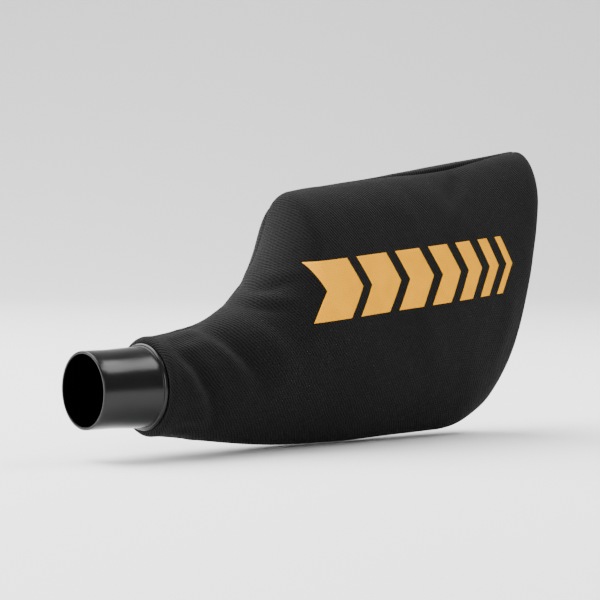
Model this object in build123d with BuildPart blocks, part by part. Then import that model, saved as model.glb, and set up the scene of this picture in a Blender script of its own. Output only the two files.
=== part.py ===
# Dust bag for a hand-held planer: a tapered plastic spout with a sewn fabric bag clamped behind it.
#
# Frame, in millimetres: the origin is the centre of the spout's mouth, +X runs along the spout into the
# bag, +Z is up and the printed side of the bag faces -Y. The bag is two mirrored fabric panels that meet
# in a seam on the plane Y = 0, with a zip across the flat rear end.

from build123d import *
from math import atan2, degrees, sqrt
import os

# ---- Spout ----
mouth_radius = 19.0  # outer radius of the push-in end
seat_length = 14.0  # straight part that seats in the tool's outlet
root_radius = 19.85  # outer radius where the taper reaches the flange
bore_radius = 17.5
flange_start = 33.2
flange_thickness = 2.2
flange_radius = 21.6
stub_radius = 19.3  # inner stub that the fabric is clamped to
stub_end = 56.0
barb_radius = 20.1  # low ridge that stops the fabric sliding off
barb_length = 2.6
barb_lead = 0.5
flange_fillet = 0.8

# ---- Fabric ----
cloth = 1.0  # thickness of the lined twill
seam_gap = 0.3  # between the two panels along the seam
neck_radius = 24.5  # outer radius of the bag's neck
neck_start = 42.0  # X where the round neck passes into the bag
belly_half = 33.0  # half the bag's greatest thickness, along Y
end_half = 14.0  # half the width of the flat rear end
belly_at = 0.45  # share of the way along the bag where it is thickest
end_taper = 2.1  # larger keeps the bag thick for longer towards the rear end
hem_cloth = 0.8  # the turned hems are pressed a little thinner
sleeve_inner = stub_radius + 0.1  # turned-in hem that lies on the stub
sleeve_end = 52.5
roll_x = 38.0  # centre of the roll where the hem turns back over the clamp
hem_overlap = 0.5
least_slant = 0.35  # sine of the flattest angle that the seam wall is thickened for

# Corners of the bag's outline on the seam plane, (X, Z), each with the radius that rounds it.
zip_top = (281.0, 95.0)
zip_bottom = (263.0, -9.0)
top_corners = [((105.8, 34.4), 73.0), ((120.9, 94.1), 7.0), ((200.0, 104.6), 1200.0), ((288.3, 117.8), 7.0)]
bottom_corners = [((106.0, -35.1), 500.0), ((239.5, -32.3), 52.0)]
stations = [0.0, 0.05, 0.1, 0.15, 0.2, 0.25, 0.3, 0.34, 0.37, 0.4, 0.43, 0.47, 0.52, 0.58]
stations += [0.64, 0.7, 0.76, 0.81, 0.86, 0.9, 0.93, 0.96, 0.98, 1.0]

# ---- Clamp band ----
band_width = 9.0
band_thickness = 0.7
band_play = 0.3  # between the hem and the band
band_x = 47.0
ear_width = 7.0
ear_height = 1.7

# ---- Seam binding, inside the bag ----
binding_width = 7.0
binding_thickness = 1.6
binding_inset = 2.3  # from the bag's outline to the binding's outer edge
binding_neck_x = 58.0  # the bindings stop short of the spout's stub
binding_zip_gap = 12.0  # and short of the zip
seam_stitch_length = 4.4
seam_stitch_pitch = 6.2
stitch_width = 0.7
stitch_height = 0.3
stitch_lift = 0.02

# ---- Zip. Places along it are measured from its middle, heights along its plane's outward normal ----
window_half = 4.75  # half the width of the slot between the two zip hems
hem_thickness = 1.0
tape_top = -1.1  # the tapes lie under the hems
tape_thickness = 0.8
tape_inner = 1.0
tape_outer = 12.0
tape_end_inset = 4.0
tape_side_play = 0.3  # between a tape's outer edge and the panel's inside
tooth_pitch = 2.6
tooth_count = 31
tooth_width = 1.0
tooth_overlap = 0.55  # how far a tooth reaches past the middle
tooth_back = 2.7
tooth_low = -2.7
tooth_high = -0.3
tooth_round = 0.2
slot_play = 0.05  # between a tooth's slot and the tape it grips
first_tooth = -40.5
stop_near = 42.0  # where the end stops begin
stop_length = 1.8
stop_inner = 0.25  # from the zip's middle to a top stop
slider_rest = 36.5  # the slider's middle with the zip closed
slider_length = 10.0
slider_half_width = 4.3
plate_thickness = 0.9
upper_plate = -0.2  # underside of the slider's upper plate
lower_plate = -2.8  # top of its lower plate
guide_width = 0.9
guide_upper = -1.0  # the tapes pass between the upper and lower guides
guide_lower = -2.0
post_half_width = 0.8
post_from = 2.1  # from the slider's middle
post_length = 2.7
bridge_width = 2.4
bridge_span = 6.4
bridge_height = 2.4
bridge_thickness = 0.8
pull_pivot = 1.5  # height of the pull's cross bar
pull_bar_radius = 0.5
pull_length = 24.0
pull_half_width = 3.4
pull_eye_half_width = 1.7
pull_eye_length = 5.0
pull_thickness = 1.3
pull_hole_radius = 1.6
pull_end_round = 3.0
tab_length = 4.5
tab_half_width = 6.2
tab_thickness = 0.7
tab_middle = 44.15
zip_stitch_line = window_half + 2.0
zip_stitch_length = 2.6
zip_stitch_pitch = 3.6
zip_stitch_count = 22

os.makedirs("parts", exist_ok=True)


def smooth_step(t):
    """Rises from 0 to 1 with level ends."""
    return t * t * (3 - 2 * t)


def half_thickness(u):
    """Half the bag's thickness along Y, at share u of the way from the neck to the rear end."""
    if u < belly_at:
        return neck_radius + (belly_half - neck_radius) * smooth_step(u / belly_at)
    fall = (u - belly_at) / (1 - belly_at)
    return end_half + (belly_half - end_half) * sqrt(max(0.0, 1 - fall**end_taper))


def outline_side(start, corners, end):
    """One side of the bag's outline, in the active line context: straight runs between rounded corners."""
    points = [start] + [corner for corner, _ in corners] + [end]
    return FilletPolyline(*points, radius=[radius for _, radius in corners])


def top_side():
    return outline_side((neck_start, neck_radius), top_corners, zip_top)


def bottom_side():
    return outline_side((neck_start, -neck_radius), bottom_corners, zip_bottom)


with BuildLine(Plane.XZ) as top_line:
    top_side()
with BuildLine(Plane.XZ) as bottom_line:
    bottom_side()
top_edge = top_line.wires()[0]
bottom_edge = bottom_line.wires()[0]


def station_plane(u, shift=0.0):
    """Plane across the bag at share u. Its X runs from the bottom seam to the top seam, its Y forward."""
    low, high = bottom_edge @ u, top_edge @ u
    up = (high - low).normalized()
    normal = up.cross(Vector(0, -1, 0))
    return Plane(origin=(low + high) / 2 + Vector(0, -shift, 0), x_dir=up, z_dir=normal)


def half_height(u):
    """Half the distance between the two seams at share u."""
    return (top_edge @ u - bottom_edge @ u).length / 2


def seam_wall(u, edge):
    """Wall at the seam, measured along the chord, so that it stays full where the seam slants."""
    chord = (top_edge @ u - bottom_edge @ u).normalized()
    return cloth / max(least_slant, (edge % u).cross(chord).length)


zip_plane = station_plane(1.0)
zip_half = half_height(1.0)


def save(part, name):
    """Labels a finished piece and writes its STEP file."""
    part.label = name
    export_step(part, f"parts/{name}.step")


def save_mirrored(part, name):
    """Writes the twin of a front piece, on the rear side of the seam plane."""
    save(part.mirror(Plane.XZ), name)


# ---- Spout tube: tapered nose, flange, inner stub with a barb ----
with BuildPart() as spout_tube:
    with BuildSketch(Plane.XZ):
        with BuildLine():
            Polyline(
                (0, bore_radius),
                (0, mouth_radius),
                (seat_length, mouth_radius),
                (flange_start, root_radius),
                (flange_start, flange_radius),
                (flange_start + flange_thickness, flange_radius),
                (flange_start + flange_thickness, stub_radius),
                (stub_end - barb_length, stub_radius),
                (stub_end - barb_length, barb_radius),
                (stub_end, stub_radius - barb_lead),
                (stub_end, bore_radius),
                close=True,
            )
        make_face()
    revolve(axis=Axis.X)
    flange_rims = spout_tube.edges().filter_by(GeomType.CIRCLE).group_by(SortBy.RADIUS)[-1]
    fillet(flange_rims, flange_fillet)
save(spout_tube.part, "spout_tube")

# ---- Clamp band: a thin steel ring with one crimped ear, round the turned-in hem ----
band_inner = sleeve_inner + cloth + band_play
with BuildPart() as clamp_band:
    with BuildSketch(Plane.YZ.offset(band_x - band_width / 2)):
        Circle(band_inner + band_thickness)
        Circle(band_inner, mode=Mode.SUBTRACT)
    extrude(amount=band_width)
    with BuildSketch(Plane.YZ.offset(band_x - band_width / 2)):
        ear_foot = band_inner + band_thickness / 2
        with Locations((0, -ear_foot - ear_height / 2)):
            Rectangle(ear_width, ear_height)
        with Locations((0, -ear_foot - ear_height / 2 + band_thickness / 2)):
            Rectangle(ear_width - 2 * band_thickness, ear_height - band_thickness, mode=Mode.SUBTRACT)
    extrude(amount=band_width)
save(clamp_band.part, "neck_clamp_band")

# ---- Front panel: half of the bag's skin, its turned-in neck hem and its zip hem ----
seam_shift = seam_gap / 2
roll_inner = sleeve_inner + hem_cloth / 2
roll_outer = neck_radius - cloth / 2
roll_radius = (roll_outer - roll_inner) / 2
with BuildPart() as front_panel:
    for u in stations:
        tall, deep = half_height(u), half_thickness(u)
        wall_top, wall_bottom = seam_wall(u, top_edge), seam_wall(u, bottom_edge)
        inner_tall = tall - (wall_top + wall_bottom) / 2
        inner_shift = (wall_bottom - wall_top) / 2
        with BuildSketch(station_plane(u, seam_shift)):
            with BuildLine():
                outer = EllipticalCenterArc((0, 0), tall, deep, arc_size=180)
                inner = EllipticalCenterArc((inner_shift, 0), inner_tall, deep - cloth, arc_size=180)
                Line(outer @ 0, inner @ 0)
                Line(outer @ 1, inner @ 1)
            make_face()
    loft()
    with BuildSketch(Plane.XZ.offset(seam_shift)):
        with BuildLine() as hem_line:
            sleeve = Line((sleeve_end, roll_inner), (roll_x, roll_inner))
            roll = ThreePointArc(
                sleeve @ 1,
                (roll_x - roll_radius, (roll_inner + roll_outer) / 2),
                (roll_x, roll_outer),
            )
            Line(roll @ 1, (neck_start + hem_overlap, roll_outer))
        trace(hem_line.line, line_width=hem_cloth)
    revolve(axis=Axis((0, -seam_shift, 0), (1, 0, 0)), revolution_arc=180)
    with BuildSketch(station_plane(1.0, seam_shift)):
        Ellipse(zip_half, end_half)
        with Locations((0, window_half - end_half)):
            Rectangle(2 * zip_half, 2 * end_half, mode=Mode.SUBTRACT)
    extrude(amount=-hem_thickness)
save(front_panel.part, "front_panel")
save_mirrored(front_panel.part, "rear_panel")

# ---- Seam bindings: a folded tape along each seam allowance, on the seam plane inside the bag ----
with BuildSketch(Plane.XZ) as binding_ring:
    with BuildLine():
        upper, lower = top_side(), bottom_side()
        Line(upper @ 0, lower @ 0)
        Line(upper @ 1, lower @ 1)
    make_face()
    offset(amount=-binding_inset, mode=Mode.REPLACE)
    offset(amount=-binding_width, mode=Mode.SUBTRACT)
    with Locations((binding_neck_x / 2, 0)):
        Rectangle(binding_neck_x, 4 * neck_radius, mode=Mode.SUBTRACT)
    zip_tilt = degrees(atan2(zip_plane.x_dir.Z, zip_plane.x_dir.X))
    with Locations(Location((zip_plane.origin.X, zip_plane.origin.Z, 0), (0, 0, zip_tilt))):
        Rectangle(4 * zip_half, 2 * binding_zip_gap, mode=Mode.SUBTRACT)


def save_binding(face, edge, inward, name):
    """Writes one binding, and the stitches that show on both its sides."""
    with BuildPart() as binding:
        extrude(face, amount=binding_thickness / 2, both=True)
    save(binding.part, f"{name}_binding")
    count = int(edge.length / seam_stitch_pitch)
    with BuildPart() as stitching:
        with BuildSketch(Plane.XZ.offset(binding_thickness / 2 + stitch_lift)):
            for number in range(count):
                along = edge % ((number + 0.5) / count)
                middle = edge @ ((number + 0.5) / count)
                middle += along.cross(Vector(0, inward, 0)) * (binding_inset + binding_width / 2)
                ends = (middle + along * seam_stitch_length, middle - along * seam_stitch_length)
                if all(face.is_inside(end) for end in ends):
                    turn = degrees(atan2(along.Z, along.X))
                    with Locations(Location((middle.X, middle.Z, 0), (0, 0, turn))):
                        Rectangle(seam_stitch_length, stitch_width)
        extrude(amount=stitch_height)
        mirror(about=Plane.XZ)
    save(stitching.part, f"{name}_stitching")


save_binding(binding_ring.sketch.faces().sort_by(Axis.Z)[-1], top_edge, -1, "top_seam")
save_binding(binding_ring.sketch.faces().sort_by(Axis.Z)[0], bottom_edge, 1, "bottom_seam")

# ---- Zip tapes, each sewn under its panel's hem ----
with BuildPart() as front_tape:
    with BuildSketch(zip_plane.offset(tape_top)):
        Ellipse(zip_half - tape_end_inset, end_half - cloth - tape_side_play)
        with Locations((0, (tape_inner + tape_outer) / 2)):
            Rectangle(2 * zip_half, tape_outer - tape_inner, mode=Mode.INTERSECT)
    extrude(amount=-tape_thickness)
save(front_tape.part, "zip_tape_front")
save_mirrored(front_tape.part, "zip_tape_rear")


def gripped_row(places, length, inner):
    """Blocks along the zip's front side, each with a slot that grips the tape's edge."""
    with BuildPart() as row:
        with BuildSketch(zip_plane.offset(tooth_low)):
            with Locations(*[(place, (inner + tooth_back) / 2) for place in places]):
                RectangleRounded(length, tooth_back - inner, tooth_round)
        extrude(amount=tooth_high - tooth_low)
        with BuildSketch(zip_plane.offset(tape_top + slot_play)):
            with Locations((0, tape_inner - slot_play + zip_half)):
                Rectangle(4 * zip_half, 2 * zip_half)
        extrude(amount=-tape_thickness - 2 * slot_play, mode=Mode.SUBTRACT)
    return row.part


# ---- Zip teeth: the rear row sits half a pitch lower, so that the two rows mesh ----
front_places = [first_tooth + tooth_pitch * number for number in range(tooth_count)]
rear_places = [place - tooth_pitch / 2 for place in front_places[1:]]
save(gripped_row(front_places, tooth_width, -tooth_overlap), "zip_teeth_front")
save_mirrored(gripped_row(rear_places, tooth_width, -tooth_overlap), "zip_teeth_rear")

# ---- Zip stops: two top stops and one bottom stop that joins both tapes ----
top_stop = gripped_row([stop_near + stop_length / 2], stop_length, stop_inner)
with BuildPart() as top_stops:
    add(top_stop)
    mirror(about=Plane.XZ)
save(top_stops.part, "zip_top_stops")

with BuildPart() as bottom_stop:
    add(gripped_row([-stop_near - stop_length / 2], stop_length, 0))
    mirror(about=Plane.XZ)
save(bottom_stop.part, "zip_bottom_stop")

# ---- Zip slider: two plates joined by a post, guides round the tapes, a bridge for the pull ----
with BuildPart() as slider:
    with BuildSketch(zip_plane.offset(upper_plate)):
        with Locations((slider_rest, 0)):
            RectangleRounded(slider_length, 2 * slider_half_width, plate_thickness)
    extrude(amount=plate_thickness)
    with BuildSketch(zip_plane.offset(lower_plate)):
        with Locations((slider_rest, 0)):
            RectangleRounded(slider_length, 2 * slider_half_width, plate_thickness)
    extrude(amount=-plate_thickness)
    with BuildSketch(zip_plane.offset(lower_plate)):
        with Locations((slider_rest + post_from + post_length / 2, 0)):
            RectangleRounded(post_length, 2 * post_half_width, tooth_round)
    extrude(amount=upper_plate - lower_plate)
    guide_places = [(slider_rest, side * (slider_half_width - guide_width / 2)) for side in (-1, 1)]
    guide_length = slider_length - 2 * plate_thickness
    with BuildSketch(zip_plane.offset(upper_plate)):
        with Locations(*guide_places):
            Rectangle(guide_length, guide_width)
    extrude(amount=guide_upper - upper_plate)
    with BuildSketch(zip_plane.offset(lower_plate)):
        with Locations(*guide_places):
            Rectangle(guide_length, guide_width)
    extrude(amount=guide_lower - lower_plate)
    plate_top = upper_plate + plate_thickness
    bridge_side = Plane(
        origin=zip_plane.from_local_coords((slider_rest, bridge_width / 2, plate_top)),
        x_dir=zip_plane.x_dir,
        z_dir=zip_plane.y_dir,
    )
    with BuildSketch(bridge_side):
        with Locations((0, -bridge_height / 2)):
            Rectangle(bridge_span, bridge_height)
        with Locations((0, bridge_thickness / 2 - bridge_height / 2)):
            opening = bridge_span - 2 * bridge_thickness
            Rectangle(opening, bridge_height - bridge_thickness, mode=Mode.SUBTRACT)
    extrude(amount=-bridge_width)
save(slider.part, "zip_slider_body")

# ---- Pull tab: an eye whose cross bar turns in the slider's bridge. It hangs straight down ----
pivot = zip_plane.from_local_coords((slider_rest, 0, pull_pivot))
pull_side = Plane(origin=pivot + Vector(0, -pull_half_width, 0), x_dir=(0, 0, 1), z_dir=(0, -1, 0))
pull_face = Plane(origin=pivot + Vector(-pull_thickness, 0, 0), x_dir=(0, 0, 1), z_dir=(1, 0, 0))
with BuildPart() as pull:
    with BuildSketch(pull_side):
        with Locations((-pull_length / 2, 0)):
            SlotCenterToCenter(pull_length, pull_thickness)
    extrude(amount=-2 * pull_half_width)
    with BuildSketch(pull_face):
        with Locations((pull_thickness - pull_eye_length / 2, 0)):
            Rectangle(pull_eye_length + 2 * pull_thickness, 2 * pull_eye_half_width)
        with Locations((pull_end_round - pull_length, 0)):
            Circle(pull_hole_radius)
    extrude(amount=2 * pull_thickness, mode=Mode.SUBTRACT)
    with BuildSketch(pull_side):
        Circle(pull_bar_radius)
    extrude(amount=-2 * pull_half_width)
save(pull.part, "zip_pull_tab")

# ---- End tabs: folded twill over both ends of the zip, with their stitching ----
for end_name, side in (("top", 1), ("bottom", -1)):
    with BuildPart() as end_tab:
        with BuildSketch(zip_plane.offset(stitch_lift)):
            with Locations((side * tab_middle, 0)):
                RectangleRounded(tab_length, 2 * tab_half_width, tab_thickness)
        extrude(amount=tab_thickness)
    save(end_tab.part, f"zip_end_tab_{end_name}")

with BuildPart() as tab_stitching:
    with BuildSketch(zip_plane.offset(2 * stitch_lift + tab_thickness)):
        for side in (-1, 1):
            with Locations((side * tab_middle, 0)):
                with GridLocations(tab_length - 3 * stitch_width, zip_stitch_pitch, 2, 3):
                    Rectangle(stitch_width, zip_stitch_length)
    extrude(amount=stitch_height)
save(tab_stitching.part, "end_tab_stitching")

# ---- Topstitching that holds each tape under its hem ----
with BuildPart() as front_topstitching:
    with BuildSketch(zip_plane.offset(stitch_lift)):
        with Locations((0, zip_stitch_line)):
            with GridLocations(zip_stitch_pitch, 1, zip_stitch_count, 1):
                Rectangle(zip_stitch_length, stitch_width)
    extrude(amount=stitch_height)
save(front_topstitching.part, "zip_stitching_front")
save_mirrored(front_topstitching.part, "zip_stitching_rear")
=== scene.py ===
import math

import bpy
import numpy as np
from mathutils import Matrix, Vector, noise
from mathutils.bvhtree import BVHTree


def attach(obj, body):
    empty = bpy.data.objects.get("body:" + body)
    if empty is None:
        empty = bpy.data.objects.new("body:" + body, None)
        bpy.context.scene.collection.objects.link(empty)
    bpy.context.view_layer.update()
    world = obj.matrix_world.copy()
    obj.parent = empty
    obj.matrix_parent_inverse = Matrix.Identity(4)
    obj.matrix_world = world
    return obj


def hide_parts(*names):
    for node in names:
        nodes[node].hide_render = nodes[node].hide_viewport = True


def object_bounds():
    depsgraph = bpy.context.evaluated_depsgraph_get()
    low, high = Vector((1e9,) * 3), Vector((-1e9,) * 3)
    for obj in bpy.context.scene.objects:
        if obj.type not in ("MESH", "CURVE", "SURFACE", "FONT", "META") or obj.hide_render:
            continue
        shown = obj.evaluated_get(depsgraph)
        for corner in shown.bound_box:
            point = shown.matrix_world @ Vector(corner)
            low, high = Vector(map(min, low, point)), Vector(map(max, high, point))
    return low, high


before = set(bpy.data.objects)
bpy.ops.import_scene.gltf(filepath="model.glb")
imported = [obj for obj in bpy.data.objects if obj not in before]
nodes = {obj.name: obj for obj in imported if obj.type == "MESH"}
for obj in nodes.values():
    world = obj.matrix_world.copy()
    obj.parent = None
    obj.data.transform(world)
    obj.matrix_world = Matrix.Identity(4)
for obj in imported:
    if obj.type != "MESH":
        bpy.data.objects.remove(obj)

cad_low, cad_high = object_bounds()
MM = 0.001

# ---------------------------------------------------------------- the bag's form, in millimetres

NECK_X, NECK_R = 42.0, 24.5
ZIP_TOP, ZIP_BOTTOM = (281.0, 95.0), (263.0, -9.0)
TOP_CORNERS = [((105.8, 34.4), 73.0), ((120.9, 94.1), 7.0), ((200.0, 104.6), 1200.0), ((288.3, 117.8), 7.0)]
BOTTOM_CORNERS = [((106.0, -35.1), 500.0), ((239.5, -32.3), 52.0)]
BELLY, END_HALF, BELLY_AT, END_TAPER = 33.0, 14.0, 0.45, 2.1
HEM_HALF = 4.75
STITCH_LINE = 6.75
CLOTH = 0.7
COLUMNS = 141
WEAVE_SPREAD = 0.45  # share of a section's extra length that the weave is spread over
SLEEVE_R = 19.4  # radius of the neck's turned-in sleeve
ROLL_X, ROLL_R = 38.0, 2.55  # where the neck rolls over, and the roll's radius
SEAM_GAP = 0.12  # half the gap between the panels where their hems meet
TAB_PLACE, TAB_ROW = 44.15, 1.2  # an end tab's middle along the zip, and its stitch rows beside that
TWILL_PITCH, TWILL_TURN = 1.28, math.radians(-38)
# Fuller places of the bag: x, z, spread and height.
PUFFS = [(292, 86, 22, 2.2), (276, 44, 30, 1.6)]


def rounded(points, radii, steps=16):
    """Points of a polyline whose inner corners are replaced by arcs."""
    points = [np.array(p, float) for p in points]
    out = [points[0]]
    for before, corner, after, radius in zip(points, points[1:], points[2:], radii):
        a = (before - corner) / np.linalg.norm(before - corner)
        b = (after - corner) / np.linalg.norm(after - corner)
        half = math.acos(np.clip(a @ b, -1, 1)) / 2
        centre = corner + (a + b) / np.linalg.norm(a + b) * radius / math.sin(half)
        start = corner + a * radius / math.tan(half) - centre
        turn = math.copysign(math.pi - 2 * half, -(a[0] * b[1] - a[1] * b[0]))
        for angle in np.linspace(0, turn, steps):
            c, s = math.cos(angle), math.sin(angle)
            out.append(centre + np.array([start[0] * c - start[1] * s, start[0] * s + start[1] * c]))
    return np.array(out + [points[-1]])


def along(line, shares):
    """Points at shares 0 to 1 of a polyline's length."""
    length = np.r_[0, np.cumsum(np.linalg.norm(np.diff(line, axis=0), axis=1))]
    return np.c_[[np.interp(np.asarray(shares) * length[-1], length, line[:, k]) for k in range(2)]].T


def outline(start_z, corners, end):
    return rounded([(NECK_X, start_z)] + [c for c, _ in corners] + [end], [r for _, r in corners])


TOP_LINE = outline(NECK_R, TOP_CORNERS, ZIP_TOP)
BOTTOM_LINE = outline(-NECK_R, BOTTOM_CORNERS, ZIP_BOTTOM)

zip_up = np.array(ZIP_TOP) - np.array(ZIP_BOTTOM)
ZIP_HALF = np.linalg.norm(zip_up) / 2
zip_up = zip_up / np.linalg.norm(zip_up)
ZIP_MID = (np.array(ZIP_TOP) + np.array(ZIP_BOTTOM)) / 2
ZIP_OUT = np.array([zip_up[1], -zip_up[0]])


def zip_point(s, y, height):
    """A point in millimetres from its place on the zip: along, across and above it."""
    x, z = ZIP_MID + zip_up * s + ZIP_OUT * height
    return np.array([x, y, z])


def half_thickness(u):
    t = np.clip(u / BELLY_AT, 0, 1)
    rise = NECK_R + (BELLY - NECK_R) * t * t * (3 - 2 * t)
    fall = np.clip((u - BELLY_AT) / (1 - BELLY_AT), 0, 1)
    return np.where(u < BELLY_AT, rise, END_HALF + (BELLY - END_HALF) * np.sqrt(1 - fall**END_TAPER))


def bell(value, centre, width):
    return np.exp(-(((value - centre) / width) ** 2))


def path_fade(points, path):
    """Distance of each (x, z) to a path, and a factor that fades to 0 at the path's ends."""
    path = np.array(path, float)
    steps = np.linalg.norm(np.diff(path, axis=0), axis=1)
    done = np.r_[0, np.cumsum(steps)]
    best = np.full(len(points), 1e9)
    share = np.zeros(len(points))
    for a, b, s0, step in zip(path, path[1:], done, steps):
        t = np.clip(((points - a) @ (b - a)) / step**2, 0, 1)
        d = np.linalg.norm(points - (a + t[:, None] * (b - a)), axis=1)
        near = d < best
        best[near] = d[near]
        share[near] = (s0 + t[near] * step) / done[-1]
    return best, np.sin(np.pi * np.clip(share * 0.86 + 0.07, 0, 1)) ** 0.8


# Soft folds: the path as (x, z), half width and height above the surface (below it when negative).
FRONT_FOLDS = [
    ([(43, 19), (48, 13), (54, 5), (58, -2), (61.5, -9), (63.5, -16)], 4.2, -3.2),
    ([(43, 11), (46, 4), (49, -2), (53, -9), (57, -17), (60, -25)], 3.6, 1.7),
    ([(64, 27), (71, 22), (77, 15), (83, 8), (89, 1)], 4.8, -3.0),
    ([(56, 25), (63, 20), (69, 14), (74, 7), (78, -1)], 4.6, 1.4),
    ([(78, 33), (86, 27), (94, 19), (101, 9)], 5.5, 1.3),
    ([(94, 45), (102, 47), (110, 50)], 2.2, -1.2),
    ([(97, 50), (106, 53), (115, 55)], 2.6, 0.9),
    ([(88, 38), (96, 37), (104, 36)], 2.4, -1.1),
    ([(92, 42), (101, 41), (110, 41)], 2.6, 0.8),
    ([(228, 103), (221, 97), (213, 88)], 5.0, -1.6),
    ([(237, 104), (229, 96), (220, 85), (214, 77)], 4.0, 1.0),
    ([(254, 40), (252, 26), (247, 8)], 6.0, 0.7),
    ([(187, 40), (193, 22), (200, 2)], 8.0, 0.9),
    ([(92, 18), (99, 12), (108, 4)], 9.0, 1.0),
    ([(130, 84), (160, 86), (200, 92)], 9.0, 0.8),
]
REAR_FOLDS = [
    ([(48, 14), (54, 6), (60, -3), (65, -12)], 3.8, -2.0),
    ([(62, 16), (69, 9), (75, 1), (79, -8)], 4.6, 1.3),
    ([(76, 18), (83, 11), (90, 2), (97, -8)], 4.6, -1.6),
    ([(94, 45), (103, 48), (112, 50)], 2.4, -1.2),
    ([(88, 38), (97, 37), (106, 35)], 2.4, -1.0),
    ([(232, 100), (222, 92), (212, 80)], 6.0, -1.5),
    ([(262, 60), (262, 42), (256, 22)], 5.0, 1.0),
    ([(170, 60), (190, 40), (214, 26)], 9.0, 1.0),
    ([(150, -12), (176, -16), (206, -14)], 8.0, 0.8),
]


def seam_turn(line):
    """Turn of the top seam round the section, in radians: to the rear at the neck, then to the front."""
    to_rear = 0.5 * np.clip((line[:, 0] - 58) / 34, 0, 1) * np.clip((150 - line[:, 0]) / 34, 0, 1)
    to_front = 0.17 * bell(line[:, 0], 222, 40) * (line[:, 1] > 95)
    return to_rear - to_front


# The hem across its width: share of the way to the zip, and height above the zip's plane.
HEM_PROFILE = [(0.12, 0.12), (0.3, 0.22), (0.5, 0.2), (0.7, 0.08)]
HEM_PROFILE += [(0.8, -0.06), (0.9, 0.1), (1.0, -0.05), (1.01, -0.45)]


def outward_of(line, sign):
    """The outward direction along an edge, smoothed round its corners."""
    tangent = np.gradient(line, axis=0)
    wide = np.ones(25) / 25
    padded = np.pad(tangent / np.linalg.norm(tangent, axis=1)[:, None], ((12, 12), (0, 0)), mode="edge")
    smooth = np.c_[np.convolve(padded[:, 0], wide, "valid"), np.convolve(padded[:, 1], wide, "valid")]
    return np.c_[-smooth[:, 1], smooth[:, 0]] * sign / np.linalg.norm(smooth, axis=1)[:, None]


def grid_quads(count, width):
    """Quads of a grid of points, row by row."""
    index = np.arange(count * width).reshape(count, width)
    return np.stack([index[:-1, :-1], index[1:, :-1], index[1:, 1:], index[:-1, 1:]], axis=-1).reshape(-1, 4)


def neck_rows(fine):
    """Rows of the neck, which rolls forward and back into the sleeve on the stub, with their weave places."""
    bend = np.linspace(0, math.pi, 15)[1:]
    middle_r = NECK_R - ROLL_R
    profile = [(x, NECK_R) for x in (41.0, 40.0, 39.0, 38.0)]
    profile += [(ROLL_X - ROLL_R * math.sin(a), middle_r + ROLL_R * math.cos(a)) for a in bend]
    profile += [(x, SLEEVE_R) for x in (41.0, 45.0, 49.0, 52.5)]
    rows, flat = [], []
    walked, last = 0.0, (NECK_X, NECK_R)
    for x, r in profile:
        walked += math.hypot(x - last[0], r - last[1])
        last = (x, r)
        rows.append(np.c_[np.full(COLUMNS, x), r * np.cos(fine), r * np.sin(fine)])
        flat.append(np.c_[np.full(COLUMNS, NECK_X - walked), fine * NECK_R])
    return rows[::-1], flat[::-1]


def hem_rows(fine, last_flat):
    """Rows of the hem, flat on the zip's plane and closed to the seam under the end tabs, with their weave."""
    end_s, end_y = ZIP_HALF * np.sin(fine), END_HALF * np.cos(fine)
    opening = np.clip((46.3 - abs(end_s)) / 2.6, 0, 1) ** 0.7
    hem = np.minimum(SEAM_GAP + (HEM_HALF - SEAM_GAP) * opening, end_y)
    room = np.clip((end_y - hem) / 3, 0, 1)
    rows, flat = [], []
    for share, height in HEM_PROFILE:
        across = end_y + (hem - end_y) * min(share, 1.0) - (SEAM_GAP if share == 1.0 else 0)
        across = np.maximum(across, 0.02)
        inward = end_s * (1 - 0.02 * share)
        sunk = 0.4 if share > 1 else 0
        heights = height * room - sunk * (1 - room)
        rows.append(np.array([zip_point(s, c, h) for s, c, h in zip(inward, across, heights)]))
        flat.append(np.c_[last_flat[:, 0] + (end_y - across), last_flat[:, 1]])
    return rows, flat


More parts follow.
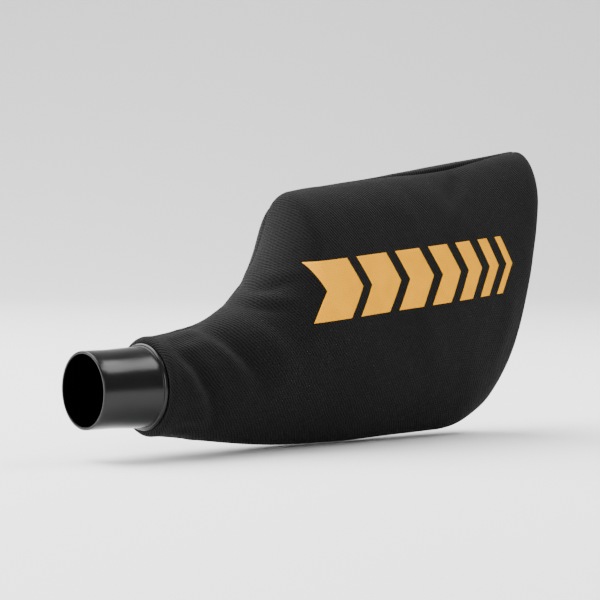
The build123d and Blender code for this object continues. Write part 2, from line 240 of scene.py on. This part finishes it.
def panel(name, side, folds, seed, replaced):
    """One fabric panel: the neck's roll, the puffed body and the zip's hem. side is -1 for the front."""
    even = np.linspace(-1, 1, COLUMNS)
    fine = (even * 0.7 + np.sin(even * math.pi / 2) * 0.3) * math.pi / 2
    rows = np.r_[np.linspace(0, 0.9, 190), np.linspace(0.904, 1, 34)]
    top, bottom = along(TOP_LINE, rows), along(BOTTOM_LINE, rows)
    middle, half = (top + bottom) / 2, (top - bottom) / 2
    deep, reach = half_thickness(rows), np.linalg.norm(half, axis=1)
    calm = np.clip(rows / 0.06, 0, 1) * np.clip((1 - rows) / 0.05, 0, 1)
    turn = -side * seam_turn(top) * calm
    phi = (fine[None] + math.pi / 2) * (1 + turn[:, None] / math.pi) - math.pi / 2
    xz = middle[:, None] + half[:, None] * np.sin(phi)[..., None]
    y = deep[:, None] * np.cos(phi)
    body = np.dstack([xz[..., 0], y, xz[..., 1]])

    # Distance along each section from its middle, for the weave and for the pinch at the seam.
    steps = np.linalg.norm(np.diff(body, axis=1), axis=2)
    arc = np.concatenate([np.zeros((len(rows), 1)), np.cumsum(steps, axis=1)], axis=1)
    to_bottom, to_top = arc, arc[:, -1:] - arc
    from_seam = np.minimum(to_bottom, to_top)
    arc = arc - np.array([np.interp(0, phi[k], arc[k]) for k in range(len(rows))])[:, None]
    chord = half / reach[:, None]
    extra = WEAVE_SPREAD * abs(arc - reach[:, None] * np.sin(phi))[..., None]
    up_edge, down_edge = outward_of(top, 1)[:, None], outward_of(bottom, -1)[:, None]
    flat = xz + extra * np.where(phi[..., None] > 0, up_edge, down_edge)
    forward = np.diff(middle[:, 0])
    flat[..., 0] += np.r_[0, np.cumsum(np.hypot(forward, np.diff(deep)) - forward)][:, None]

    # Outward directions of the plain form.
    out_chord, out_y = deep[:, None] * np.sin(phi), reach[:, None] * np.cos(phi)
    size = np.hypot(out_chord, out_y)
    out_x, out_z = chord[:, None, 0] * out_chord / size, chord[:, None, 1] * out_chord / size
    outward = np.dstack([out_x, out_y / size, out_z])

    # The seams pull the cloth in, deepest along the back of the top edge and at the upper front corner.
    at_back = 2.0 * bell(top[:, 0], 222, 34) * (top[:, 1] > 95)
    at_corner = 1.2 * bell(top[:, 1], 78, 22) * (top[:, 0] < 135)
    depth = 1.0 + at_back + at_corner
    groove = 0.75 * np.exp(-((to_top / 1.3) ** 2)) + 0.25 * np.exp(-((to_top / 4.5) ** 2))
    pinch = (depth * calm)[:, None] * groove
    pinch += (0.9 * calm)[:, None] * np.exp(-((to_bottom / 2.4) ** 2))

    # Folds and the slack of the cloth.
    spots = body[..., [0, 2]].reshape(-1, 2)
    lift = np.zeros(len(spots))
    for path, width, height in folds:
        distance, fade = path_fade(spots, path)
        lift += height * np.exp(-((distance / width) ** 2)) * fade
    lift = lift.reshape(from_seam.shape)
    slack = np.array([
        noise.noise(Vector((p[0] * 0.021, p[1] * 0.027, seed))) * 1.3
        + noise.noise(Vector((p[0] * 0.06 + p[1] * 0.03, p[1] * 0.05, seed + 7))) * 0.45
        for p in spots
    ]).reshape(from_seam.shape)
    edge = np.clip(from_seam / 9, 0, 1) * calm[:, None]
    pleats = 0.28 * np.cos(phi * 13 + seed) * (bell(rows, 0.03, 0.035) * np.clip(rows / 0.01, 0, 1))[:, None]
    puff = sum(
        height * bell(body[..., 0], x, width) * bell(body[..., 2], z, width) for x, z, width, height in PUFFS
    ) * np.clip((1 - rows) / 0.08, 0, 1)[:, None]
    raised = lift * np.clip(from_seam / 5, 0, 1) + slack * edge
    raised = raised + pleats * np.clip(from_seam / 6, 0, 1) + puff - pinch
    body += outward * raised[..., None]

    front_rows, front_flat = neck_rows(fine)
    back_rows, back_flat = hem_rows(fine, flat[-1])
    grid = np.concatenate([np.array(front_rows), body, np.array(back_rows)])
    weave = np.concatenate([np.array(front_flat), flat, np.array(back_flat)])
    grid[..., 1] = (grid[..., 1] + 0.03) * side
    count, width = grid.shape[:2]
    mesh = bpy.data.meshes.new(name)
    quads = grid_quads(count, width)
    if side > 0:
        quads = quads[:, ::-1]
    mesh.from_pydata((grid.reshape(-1, 3) * MM).tolist(), [], quads.tolist())
    store = mesh.attributes.new("weave", "FLOAT_VECTOR", "POINT")
    places = np.c_[weave.reshape(-1, 2), np.full(count * width, seed)]
    store.data.foreach_set("vector", places.ravel().astype(np.float32))
    mesh.polygons.foreach_set("use_smooth", [True] * len(quads))
    piece = bpy.data.objects.new(name, mesh)
    bpy.context.scene.collection.objects.link(piece)
    thick = piece.modifiers.new("cloth", "SOLIDIFY")
    thick.thickness, thick.offset = CLOTH * MM, -1
    thick.use_even_offset = False
    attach(piece, "bag")
    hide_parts(replaced)
    return piece, grid


# ---------------------------------------------------------------- materials


class Nodes:
    """A small helper that writes a procedural material."""

    def __init__(self, name):
        self.material = bpy.data.materials.new(name)
        self.material.use_nodes = True
        self.tree = self.material.node_tree
        self.shader = self.tree.nodes["Principled BSDF"]

    def add(self, kind, **values):
        node = self.tree.nodes.new(kind)
        for key, value in values.items():
            if key.startswith("in_"):
                node.inputs[int(key[3:])].default_value = value
            else:
                setattr(node, key, value)
        return node

    def link(self, out, into):
        self.tree.links.new(out, into)

    def math(self, operation, a, b=None, clamp=False):
        node = self.add("ShaderNodeMath", operation=operation, use_clamp=clamp)
        for socket, value in zip(node.inputs, (a, b)):
            if value is None:
                continue
            if isinstance(value, (int, float)):
                socket.default_value = value
            else:
                self.link(value, socket)
        return node.outputs[0]

    def mix(self, factor, a, b):
        node = self.add("ShaderNodeMix", data_type="RGBA")
        for socket, value in zip((node.inputs[0], node.inputs[6], node.inputs[7]), (factor, a, b)):
            if isinstance(value, (int, float)):
                socket.default_value = value
            elif isinstance(value, tuple):
                socket.default_value = (*value, 1)
            else:
                self.link(value, socket)
        return node.outputs[2]

    def ramp(self, value, low, high, out_low=0.0, out_high=1.0):
        node = self.add("ShaderNodeMapRange", in_1=low, in_2=high, in_3=out_low, in_4=out_high)
        self.link(value, node.inputs[0])
        return node.outputs[0]

    def noise(self, vector, scale, detail=3.0, roughness=0.5):
        node = self.add("ShaderNodeTexNoise", in_2=scale, in_3=detail, in_4=roughness)
        self.link(vector, node.inputs[0])
        return node.outputs[0]

    def scaled(self, vector, scale, rotation=0.0):
        node = self.add("ShaderNodeMapping")
        self.link(vector, node.inputs[0])
        node.inputs[2].default_value = (0, 0, rotation)
        node.inputs[3].default_value = scale
        return node.outputs[0]

    def split(self, vector):
        node = self.add("ShaderNodeSeparateXYZ")
        self.link(vector, node.inputs[0])
        return node.outputs

    def bump(self, height, distance, strength=1.0, normal=None):
        node = self.add("ShaderNodeBump")
        node.inputs["Strength"].default_value = strength
        node.inputs["Distance"].default_value = distance
        self.link(height, node.inputs["Height"])
        if normal is not None:
            self.link(normal, node.inputs["Normal"])
        return node.outputs[0]

    def set(self, **values):
        for key, value in values.items():
            self.shader.inputs[key.replace("_", " ")].default_value = value
        return self


def twill_height(n, vector, pitch, turn):
    """A twill's diagonal ribs, each broken into its threads."""
    x, y, _ = n.split(n.scaled(vector, (1 / pitch, 1 / pitch, 1), turn))
    wobble = n.math("MULTIPLY", n.noise(n.scaled(vector, (0.05, 0.05, 1)), 3.0), 1.6)
    across = n.math("ADD", x, wobble)
    rib = n.math("COSINE", n.math("MULTIPLY", across, 2 * math.pi))
    step = n.math("MULTIPLY", n.math("FLOOR", across), 0.5)
    offset = n.math("ADD", n.math("MULTIPLY", y, 0.8), step)
    thread = n.math("COSINE", n.math("MULTIPLY", offset, 2 * math.pi))
    return n.math("ADD", n.math("MULTIPLY", rib, 0.38), n.math("ADD", n.math("MULTIPLY", thread, 0.12), 0.5))


def twill_material():
    n = Nodes("black_twill")
    weave = n.add("ShaderNodeAttribute", attribute_name="weave").outputs["Vector"]
    height = twill_height(n, weave, TWILL_PITCH, TWILL_TURN)
    fuzz = n.noise(weave, 2.6, 4.0, 0.6)
    patches = n.noise(weave, 0.035, 3.0, 0.55)
    speck = n.ramp(n.noise(weave, 1.5, 2.0, 0.6), 0.36, 0.66)
    dust = n.noise(weave, 0.9, 2.0, 0.5)
    base = n.mix(n.ramp(patches, 0.3, 0.7), (0.0015, 0.0015, 0.0016), (0.0026, 0.0026, 0.0027))
    ribs = n.mix(n.ramp(height, 0.15, 0.9), (0.0002, 0.0002, 0.0002), (0.0092, 0.0092, 0.0094))
    colour = n.mix(0.8, base, ribs)
    colour = n.mix(n.math("MULTIPLY", speck, 0.5), colour, (0.0058, 0.0058, 0.0059))
    colour = n.mix(n.math("MULTIPLY", n.ramp(dust, 0.62, 0.8), 0.1), colour, (0.05, 0.05, 0.049))
    n.link(colour, n.shader.inputs["Base Color"])
    n.link(n.ramp(fuzz, 0.2, 0.8, 0.74, 0.95), n.shader.inputs["Roughness"])
    together = n.math("ADD", n.math("MULTIPLY", height, 0.8), n.math("MULTIPLY", fuzz, 0.35))
    n.link(n.bump(together, 0.0005, 1.0), n.shader.inputs["Normal"])
    n.set(Sheen_Weight=0.03, Sheen_Roughness=0.5, Specular_IOR_Level=0.08)
    return n.material


def ink_material():
    n = Nodes("yellow_print")
    weave = n.add("ShaderNodeAttribute", attribute_name="weave").outputs["Vector"]
    height = twill_height(n, weave, TWILL_PITCH, TWILL_TURN)
    patches = n.noise(weave, 0.09, 3.0, 0.6)
    speck = n.noise(weave, 1.6, 4.0, 0.65)
    colour = n.mix(n.ramp(patches, 0.3, 0.7), (0.74, 0.31, 0.0), (0.82, 0.355, 0.0))
    colour = n.mix(n.math("MULTIPLY", n.ramp(height, 0.35, 0.05), 0.22), colour, (0.34, 0.12, 0.0))
    colour = n.mix(n.math("MULTIPLY", n.ramp(speck, 0.68, 0.8), 0.5), colour, (0.12, 0.07, 0.01))
    n.link(colour, n.shader.inputs["Base Color"])
    n.link(n.ramp(height, 0.0, 1.0, 0.72, 0.5), n.shader.inputs["Roughness"])
    n.link(n.bump(height, 0.00012, 0.7), n.shader.inputs["Normal"])
    n.set(Specular_IOR_Level=0.05)
    return n.material


def plastic_material(name, colour, rough, painted_shade_radius=0.001, scratch=0.25):
    n = Nodes(name)
    place = n.add("ShaderNodeTexCoord").outputs["Object"]
    drawn = n.noise(n.scaled(place, (30, 900, 900)), 1.0, 3.0, 0.6)
    cloud = n.noise(place, 60.0, 3.0, 0.5)
    fine = n.noise(place, 1800.0, 2.0, 0.5)
    _, y, z = n.split(place)
    radius = n.math("SQRT", n.math("ADD", n.math("MULTIPLY", y, y), n.math("MULTIPLY", z, z)))
    # Painted shade: inside this radius the bore's colour is painted near black and its reflections are turned
    # down, standing in for the shade inside the tube.
    bore_painted_shade = n.ramp(radius, painted_shade_radius + 0.0002, painted_shade_radius)
    shade = n.mix(n.ramp(cloud, 0.3, 0.7), colour, tuple(c * 1.35 for c in colour))
    n.link(n.mix(bore_painted_shade, shade, tuple(c * 0.15 for c in colour)), n.shader.inputs["Base Color"])
    n.link(n.ramp(bore_painted_shade, 0.0, 1.0, 0.33, 0.03), n.shader.inputs["Specular IOR Level"])
    smear = n.math("ADD", n.math("MULTIPLY", n.ramp(drawn, 0.45, 0.8), 0.10), n.math("MULTIPLY", cloud, 0.05))
    n.link(n.math("ADD", smear, rough), n.shader.inputs["Roughness"])
    relief = n.math("ADD", n.math("MULTIPLY", drawn, scratch), n.math("MULTIPLY", fine, 0.15))
    n.link(n.bump(relief, 0.00002, 0.35), n.shader.inputs["Normal"])
    n.set(IOR=1.42)
    return n.material


def woven_material(name, dark, light, pitch):
    """A fine plain weave on object coordinates, for tapes and bindings."""
    n = Nodes(name)
    place = n.add("ShaderNodeTexCoord").outputs["Object"]
    x, y, z = n.split(n.scaled(place, (1 / pitch,) * 3))
    lengthwise = n.math("ADD", n.math("MULTIPLY", x, 0.17), z)
    over = n.math("SINE", n.math("MULTIPLY", lengthwise, 2 * math.pi))
    under = n.math("SINE", n.math("MULTIPLY", y, 2 * math.pi))
    check = n.math("ADD", n.math("MULTIPLY", n.math("MULTIPLY", over, under), 0.4), 0.5)
    fuzz = n.noise(place, 2400.0, 3.0, 0.6)
    shade = n.math("MULTIPLY", n.math("ADD", check, fuzz), 0.5)
    n.link(n.mix(shade, dark, light), n.shader.inputs["Base Color"])
    n.link(n.ramp(fuzz, 0.2, 0.8, 0.7, 0.95), n.shader.inputs["Roughness"])
    relief = n.math("ADD", check, n.math("MULTIPLY", fuzz, 0.4))
    n.link(n.bump(relief, 0.00012, 0.8), n.shader.inputs["Normal"])
    n.set(Sheen_Weight=0.25, Sheen_Roughness=0.5, Specular_IOR_Level=0.3)
    return n.material


def metal_material(name, colour, worn, rough, metallic):
    n = Nodes(name)
    place = n.add("ShaderNodeTexCoord").outputs["Object"]
    brushed = n.noise(n.scaled(place, (300, 2500, 300)), 1.0, 3.0, 0.6)
    wear = n.noise(place, 1500.0, 4.0, 0.7)
    edge = n.add("ShaderNodeNewGeometry").outputs["Pointiness"]
    rub = n.math("MULTIPLY", n.ramp(edge, 0.55, 0.7), n.ramp(wear, 0.5, 0.75))
    n.link(n.mix(rub, colour, worn), n.shader.inputs["Base Color"])
    n.link(n.math("ADD", n.math("MULTIPLY", brushed, 0.18), rough), n.shader.inputs["Roughness"])
    n.link(n.bump(brushed, 0.00002, 0.4), n.shader.inputs["Normal"])
    n.set(Metallic=metallic)
    return n.material


def thread_material():
    n = Nodes("black_thread")
    place = n.add("ShaderNodeTexCoord").outputs["Object"]
    ply = n.add("ShaderNodeTexWave", bands_direction="DIAGONAL", in_1=900.0, in_2=1.5)
    n.link(place, ply.inputs[0])
    fuzz = n.noise(place, 3000.0, 2.0, 0.5)
    n.link(n.mix(ply.outputs[1], (0.012, 0.012, 0.013), (0.045, 0.045, 0.047)), n.shader.inputs["Base Color"])
    n.link(n.ramp(fuzz, 0.2, 0.8, 0.45, 0.7), n.shader.inputs["Roughness"])
    n.link(n.bump(ply.outputs[1], 0.00008, 0.8), n.shader.inputs["Normal"])
    n.set(Sheen_Weight=0.2, Specular_IOR_Level=0.4)
    return n.material


def floor_material():
    n = Nodes("studio_floor")
    place = n.add("ShaderNodeTexCoord").outputs["Object"]
    cloud = n.noise(place, 3.0, 3.0, 0.5)
    n.link(n.mix(cloud, (0.9, 0.9, 0.9), (0.93, 0.93, 0.93)), n.shader.inputs["Base Color"])
    n.set(Roughness=0.85, Specular_IOR_Level=0.1)
    return n.material


def dress(piece, material):
    piece.data.materials.clear()
    piece.data.materials.append(material)
    return piece


TWILL = twill_material()
INK = ink_material()
SPOUT = plastic_material("gloss_black_plastic", (0.004, 0.004, 0.0043), 0.17, 0.01765)
TEETH = plastic_material("satin_black_plastic", (0.014, 0.014, 0.015), 0.34)
TAPE = woven_material("zip_tape_weave", (0.008, 0.008, 0.009), (0.03, 0.03, 0.031), 0.0009)
BINDING = woven_material("binding_weave", (0.01, 0.01, 0.011), (0.04, 0.04, 0.042), 0.0008)
STEEL = metal_material("clamp_steel", (0.5, 0.51, 0.52), (0.66, 0.66, 0.66), 0.28, 1.0)
ENAMEL = metal_material("black_enamel", (0.014, 0.014, 0.015), (0.14, 0.138, 0.135), 0.24, 0.3)
THREAD = thread_material()

# ---------------------------------------------------------------- fabric

front, front_grid = panel("bag_front_panel", -1, FRONT_FOLDS, 2.0, "front_panel")
rear, _ = panel("bag_rear_panel", 1, REAR_FOLDS, 11.0, "rear_panel")
for cut in (front, rear):
    dress(cut, TWILL)


def mesh_piece(name, vertices, faces, material, body="bag", replaced=(), smooth=True):
    mesh = bpy.data.meshes.new(name)
    mesh.from_pydata([tuple(v) for v in vertices], [], faces)
    mesh.polygons.foreach_set("use_smooth", [smooth] * len(mesh.polygons))
    mesh.validate()
    piece = bpy.data.objects.new(name, mesh)
    bpy.context.scene.collection.objects.link(piece)
    dress(piece, material)
    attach(piece, body)
    if replaced:
        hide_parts(*replaced)
    return piece


# ---------------------------------------------------------------- the printed chevrons

PRINT_SLOPE = 0.088
PRINT_MID = (184.5, 50.4)
PRINT_HALF = 15.0
CHEVRON_WIDTHS = [23.0, 19.5, 16.0, 13.0, 10.0, 7.0, 4.5]
CHEVRON_GAP = 6.2
CHEVRON_LEAN = 0.55


def print_piece():
    """Chevrons that point away from the spout and grow thinner, laid on the front panel's surface."""
    quads = grid_quads(*front_grid.shape[:2])
    points = front_grid.reshape(-1, 3)
    tree = BVHTree.FromPolygons(points.tolist(), quads.tolist())
    store = np.array([a.vector[:] for a in front.data.attributes["weave"].data])
    total = sum(CHEVRON_WIDTHS) + CHEVRON_GAP * (len(CHEVRON_WIDTHS) - 1) + PRINT_HALF * CHEVRON_LEAN
    start = PRINT_MID[0] - total / 2
    vertices, faces, weave = [], [], []
    for wide in CHEVRON_WIDTHS:
        columns, lines = max(3, int(wide / 1.2)), 27
        base = len(vertices)
        for line in np.linspace(-1, 1, lines):
            lean = PRINT_HALF * CHEVRON_LEAN * (1 - abs(line))
            for share in np.linspace(0, 1, columns + 1):
                x = start + lean + wide * share
                z = PRINT_MID[1] + line * PRINT_HALF + (x - PRINT_MID[0]) * PRINT_SLOPE
                hit, normal, face, _ = tree.ray_cast(Vector((x, -80, z)), Vector((0, 1, 0)))
                vertices.append((hit + normal * 0.09) * MM)
                near = quads[face][0]
                weave.append(store[near] + np.array([x - points[near][0], z - points[near][2], 0]))
        for i in range(lines - 1):
            for j in range(columns):
                a = base + i * (columns + 1) + j
                faces.append((a, a + 1, a + columns + 2, a + columns + 1))
        start += wide + CHEVRON_GAP
    piece = mesh_piece("printed_chevrons", vertices, faces, INK)
    layer = piece.data.attributes.new("weave", "FLOAT_VECTOR", "POINT")
    layer.data.foreach_set("vector", np.array(weave, dtype=np.float32).ravel())
    film = piece.modifiers.new("film", "SOLIDIFY")
    film.thickness, film.offset = 0.08 * MM, -1
    return piece


print_piece()

# ---------------------------------------------------------------- the spout

SPOUT_SIDES = 160


def turned(name, profile, material, sides, replaced):
    """A closed ring turned about the X axis from (x, radius) points."""
    vertices, faces = [], []
    for k in range(sides):
        angle = 2 * math.pi * k / sides
        for x, r in profile:
            vertices.append((x * MM, r * math.cos(angle) * MM, r * math.sin(angle) * MM))
    size = len(profile)
    for k in range(sides):
        for i in range(size):
            j, m = (i + 1) % size, (k + 1) % sides
            faces.append((k * size + i, k * size + j, m * size + j, m * size + i))
    return mesh_piece(name, vertices, faces, material, replaced=replaced)


def fillet_points(centre, radius, start, end, steps=5):
    return [
        (centre[0] + radius * math.cos(math.radians(a)), centre[1] + radius * math.sin(math.radians(a)))
        for a in np.linspace(start, end, steps)
    ]


spout_profile = (
    fillet_points((0.5, 18.0), 0.5, 270, 180)
    + fillet_points((0.6, 18.4), 0.6, 180, 90)
    + [(4.0, 19.0), (9.0, 19.0), (14.0, 19.0), (20.0, 19.27), (26.0, 19.53), (31.0, 19.75)]
    + fillet_points((32.8, 20.2), 0.4, 270, 360, 4)
    + fillet_points((34.2, 20.2), 1.0, 180, 90)
    + fillet_points((34.6, 20.4), 0.8, 90, 0)
    + [(35.4, 19.6), (35.6, 19.3), (44.0, 19.3), (53.3, 19.3)]
    + [(53.5, 20.0), (54.0, 20.1), (56.0, 18.8), (56.0, 17.7)]
    + [(55.8, 17.5), (40.0, 17.5), (20.0, 17.5), (6.0, 17.5)]
)
turned("spout_tube_moulded", spout_profile, SPOUT, SPOUT_SIDES, ["spout_tube"])

# ---------------------------------------------------------------- tapes, tabs, bindings and thread


def tube_skin(rings, around, base=0):
    """Faces of a closed tube of rings of points, with a cap at each end."""
    faces = []
    for k in range(rings - 1):
        for m in range(around):
            n = (m + 1) % around
            low, high = base + k * around, base + (k + 1) * around
            faces.append((low + m, low + n, high + n, high + m))
    faces.append(tuple(base + m for m in range(around))[::-1])
    faces.append(tuple(base + (rings - 1) * around + m for m in range(around)))
    return faces


def tape(name, side, node):
    """A woven zip tape: a strip with ribs along its length and a corded edge beside the teeth."""
    end, inner, outer, bulge = 48.4, 1.05, 11.95, 12.7
    vertices = []
    across = np.linspace(0, 1, 45)
    lengths = np.linspace(-end, end, 150)
    for s in lengths:
        edge = min(outer, bulge * math.sqrt(1 - (s / (end + 0.37)) ** 2))
        for y in inner + (edge - inner) * across:
            ribs = 0.05 * math.cos(2 * math.pi * (y - inner) / 1.1)
            ribs += 0.02 * math.sin(2 * math.pi * s / 0.9)
            cord = 0.07 * bell(y, inner + 0.5, 0.45)
            vertices.append(zip_point(s, y * side, -1.24 + ribs * 0.7 + cord) * MM)
    count = len(across)
    faces = []
    for i in range(len(lengths) - 1):
        for j in range(count - 1):
            a = i * count + j
            quad = (a, a + 1, a + count + 1, a + count)
            faces.append(quad if side < 0 else quad[::-1])
    piece = mesh_piece(name, vertices, faces, TAPE, replaced=[node])
    thick = piece.modifiers.new("tape", "SOLIDIFY")
    thick.thickness, thick.offset = 0.6 * MM, -1


def power(value, exponent):
    return math.copysign(abs(value) ** exponent, value)


def end_tab(name, side, node):
    """A folded tab over the zip's end: a soft rounded block, pressed in along its two rows of stitches."""
    around, rings = 48, 17
    vertices = []
    for k in range(rings):
        lift = math.pi * (k / (rings - 1) - 0.5) * 0.998
        for m in range(around):
            turn = 2 * math.pi * m / around
            s = 2.25 * power(math.cos(lift), 0.35) * power(math.cos(turn), 0.3)
            y = 6.2 * power(math.cos(lift), 0.35) * power(math.sin(turn), 0.3)
            height = 0.35 * power(math.sin(lift), 0.7)
            if height > 0:
                height -= 0.09 * bell(abs(s), TAB_ROW, 0.4) - 0.03 * math.sin(y * 2.1)
            vertices.append(zip_point(side * TAB_PLACE + s, y, 0.4 + height) * MM)
    mesh_piece(name, vertices, tube_skin(rings, around), TAPE, replaced=[node])


def binding_path(line, sign):
    """Middle line of a seam's binding, 5.8 mm inside the outline, with its outward directions."""
    points = along(line, np.linspace(0, 1, 301))
    path = points - outward_of(points, sign) * 5.8
    wide = np.ones(17) / 17
    padded = np.pad(path, ((8, 8), (0, 0)), mode="edge")
    path = np.c_[np.convolve(padded[:, 0], wide, "valid"), np.convolve(padded[:, 1], wide, "valid")]
    inside = (path[:, 0] > 59) & ((ZIP_MID - path) @ ZIP_OUT > 12.6)
    return path[inside], outward_of(path, sign)[inside]


def binding(name, line, sign, node):
    """A tape folded over the seam allowance, swept along the seam."""
    path, out = binding_path(line, sign)
    turns = np.arange(24) * math.pi / 12
    section = [(3.45 * power(math.cos(a), 0.6), 0.76 * power(math.sin(a), 0.55)) for a in turns]
    vertices = []
    for k, (point, way) in enumerate(zip(path, out)):
        ripple = 0.12 * math.sin(k * 0.9)
        for across, thick in section:
            pressed = 1 - 0.16 * bell(across, 0, 0.9)
            x, z = point + way * (across + ripple * (abs(across) > 3))
            vertices.append((x * MM, thick * pressed * MM, z * MM))
    mesh_piece(name, vertices, tube_skin(len(path), len(section)), BINDING, replaced=[node])


def stitches(name, places, length, node):
    """Rounded stitches that dive into the cloth at both ends. Each place is (middle, along, up) in mm."""
    rings, around = 9, 8
    vertices, faces = [], []
    for middle, way, rise in places:
        middle, way, rise = (np.array(v, float) for v in (middle, way, rise))
        beside = np.cross(rise, way)
        base = len(vertices)
        for t in np.linspace(-1, 1, rings):
            size = 0.55 + 0.45 * math.sqrt(max(0, 1 - t**4))
            centre = middle + way * t * length / 2 + rise * (0.13 - 0.22 * t**4)
            for m in range(around):
                a = 2 * math.pi * m / around
                spot = centre + beside * 0.3 * size * math.cos(a) + rise * 0.17 * size * math.sin(a)
                vertices.append(spot * MM)
        faces += tube_skin(rings, around, base)
    mesh_piece(name, vertices, faces, THREAD, replaced=[node])


def seam_places(line, sign):
    path, out = binding_path(line, sign)
    places = []
    for k in range(4, len(path) - 4, 7):
        way = (out[k][1], 0, -out[k][0])
        for side in (-1, 1):
            places.append(((path[k][0], side * 0.72, path[k][1]), way, (0, side, 0)))
    return places


UP_3D = (zip_up[0], 0, zip_up[1])
OUT_3D = (ZIP_OUT[0], 0, ZIP_OUT[1])
tape("zip_tape_front_woven", -1, "zip_tape_front")
tape("zip_tape_rear_woven", 1, "zip_tape_rear")
end_tab("zip_end_tab_top_folded", 1, "zip_end_tab_top")
end_tab("zip_end_tab_bottom_folded", -1, "zip_end_tab_bottom")
binding("top_seam_binding_folded", TOP_LINE, 1, "top_seam_binding")
binding("bottom_seam_binding_folded", BOTTOM_LINE, -1, "bottom_seam_binding")
stitches("top_seam_thread", seam_places(TOP_LINE, 1), 4.4, "top_seam_stitching")
stitches("bottom_seam_thread", seam_places(BOTTOM_LINE, -1), 4.4, "bottom_seam_stitching")
tab_places = [
    (zip_point(end * TAB_PLACE + row * TAB_ROW, y, 0.66), (0, 1, 0), OUT_3D)
    for end in (-1, 1)
    for row in (-1, 1)
    for y in (-3.6, 0, 3.6)
]
stitches("end_tab_thread", tab_places, 2.6, "end_tab_stitching")
for zip_side, zip_name in ((-1, "front"), (1, "rear")):
    hem_spots = [zip_point((k - 10.5) * 3.6, zip_side * STITCH_LINE, 0.02) for k in range(22)]
    hem_places = [(spot, UP_3D, OUT_3D) for spot in hem_spots]
    stitches(f"zip_thread_{zip_name}", hem_places, 2.6, f"zip_stitching_{zip_name}")

# ---------------------------------------------------------------- carried-over CAD nodes

for node, material in (
    ("neck_clamp_band", STEEL),
    ("zip_teeth_front", TEETH),
    ("zip_teeth_rear", TEETH),
    ("zip_top_stops", TEETH),
    ("zip_bottom_stop", TEETH),
    ("zip_slider_body", ENAMEL),
    ("zip_pull_tab", ENAMEL),
):
    dress(nodes[node], material)

# ---------------------------------------------------------------- studio

AZIMUTH, ELEVATION, DISTANCE = math.radians(-38.15), math.radians(2.67), 1.13993
SHIFT_RIGHT, SHIFT_UP = 0.10315, 0.04308
FLOOR_GAP = 0.0006
floor_height = cad_low.z - FLOOR_GAP


def sweep():
    """A pale floor that curves up into a backdrop behind the bag."""
    outline_yz = [(-8.0, 0.0), (1.6, 0.0)]
    bends = np.linspace(0.05, math.pi / 2, 22)
    outline_yz += [(1.6 + 1.2 * math.sin(a), 1.2 - 1.2 * math.cos(a)) for a in bends]
    outline_yz += [(2.8, 7.0)]
    turn = -AZIMUTH
    vertices = []
    for y, z in outline_yz:
        for x in (-9.0, 9.0):
            vertices.append((
                0.15 + x * math.cos(turn) + y * math.sin(turn),
                -x * math.sin(turn) + y * math.cos(turn),
                floor_height + z,
            ))
    faces = [(2 * k, 2 * k + 1, 2 * k + 3, 2 * k + 2) for k in range(len(outline_yz) - 1)]
    mesh = bpy.data.meshes.new("studio_sweep")
    mesh.from_pydata(vertices, [], faces)
    mesh.polygons.foreach_set("use_smooth", [True] * len(faces))
    stage = bpy.data.objects.new("studio_sweep", mesh)
    bpy.context.scene.collection.objects.link(stage)
    return dress(stage, floor_material())


sweep()

world = bpy.data.worlds.new("studio")
bpy.context.scene.world = world
world.use_nodes = True
sky = world.node_tree.nodes["Background"]
sky.inputs["Color"].default_value = (1, 1, 1, 1)
sky.inputs["Strength"].default_value = 0.3


def softbox(name, direction, distance, size, power, target=(0.15, 0, 0.03)):
    light = bpy.data.lights.new(name, "AREA")
    light.shape, light.size, light.size_y = "RECTANGLE", size[0], size[1]
    light.energy = power
    holder = bpy.data.objects.new(name, light)
    bpy.context.scene.collection.objects.link(holder)
    way = Vector(direction).normalized()
    holder.location = Vector(target) + way * distance
    holder.rotation_mode = "QUATERNION"
    holder.rotation_quaternion = way.to_track_quat("Z", "Y")


softbox("top_back", (-0.35, 0.5, 0.8), 1.7, (2.2, 2.2), 150)
softbox("key_left", (-0.84, -0.5, 0.2), 1.5, (0.6, 0.6), 14)
softbox("tube_band", (0.617, -0.208, 0.758), 1.3, (0.8, 0.5), 12, (0.02, 0, 0))

# ---------------------------------------------------------------- camera

back = Vector((
    math.sin(AZIMUTH) * math.cos(ELEVATION),
    -math.cos(AZIMUTH) * math.cos(ELEVATION),
    math.sin(ELEVATION),
))
right = Vector((-back.y, back.x, 0)).normalized()
up = back.cross(right)
camera = bpy.data.objects.new("camera", bpy.data.cameras.new("camera"))
bpy.context.scene.collection.objects.link(camera)
camera.data.lens, camera.data.sensor_width = 144.0, 36.0
camera.data.clip_start, camera.data.clip_end = 0.05, 50
camera.location = back * DISTANCE + right * SHIFT_RIGHT + up * SHIFT_UP
camera.rotation_mode = "QUATERNION"
camera.rotation_quaternion = back.to_track_quat("Z", "Y")
bpy.context.scene.camera = camera
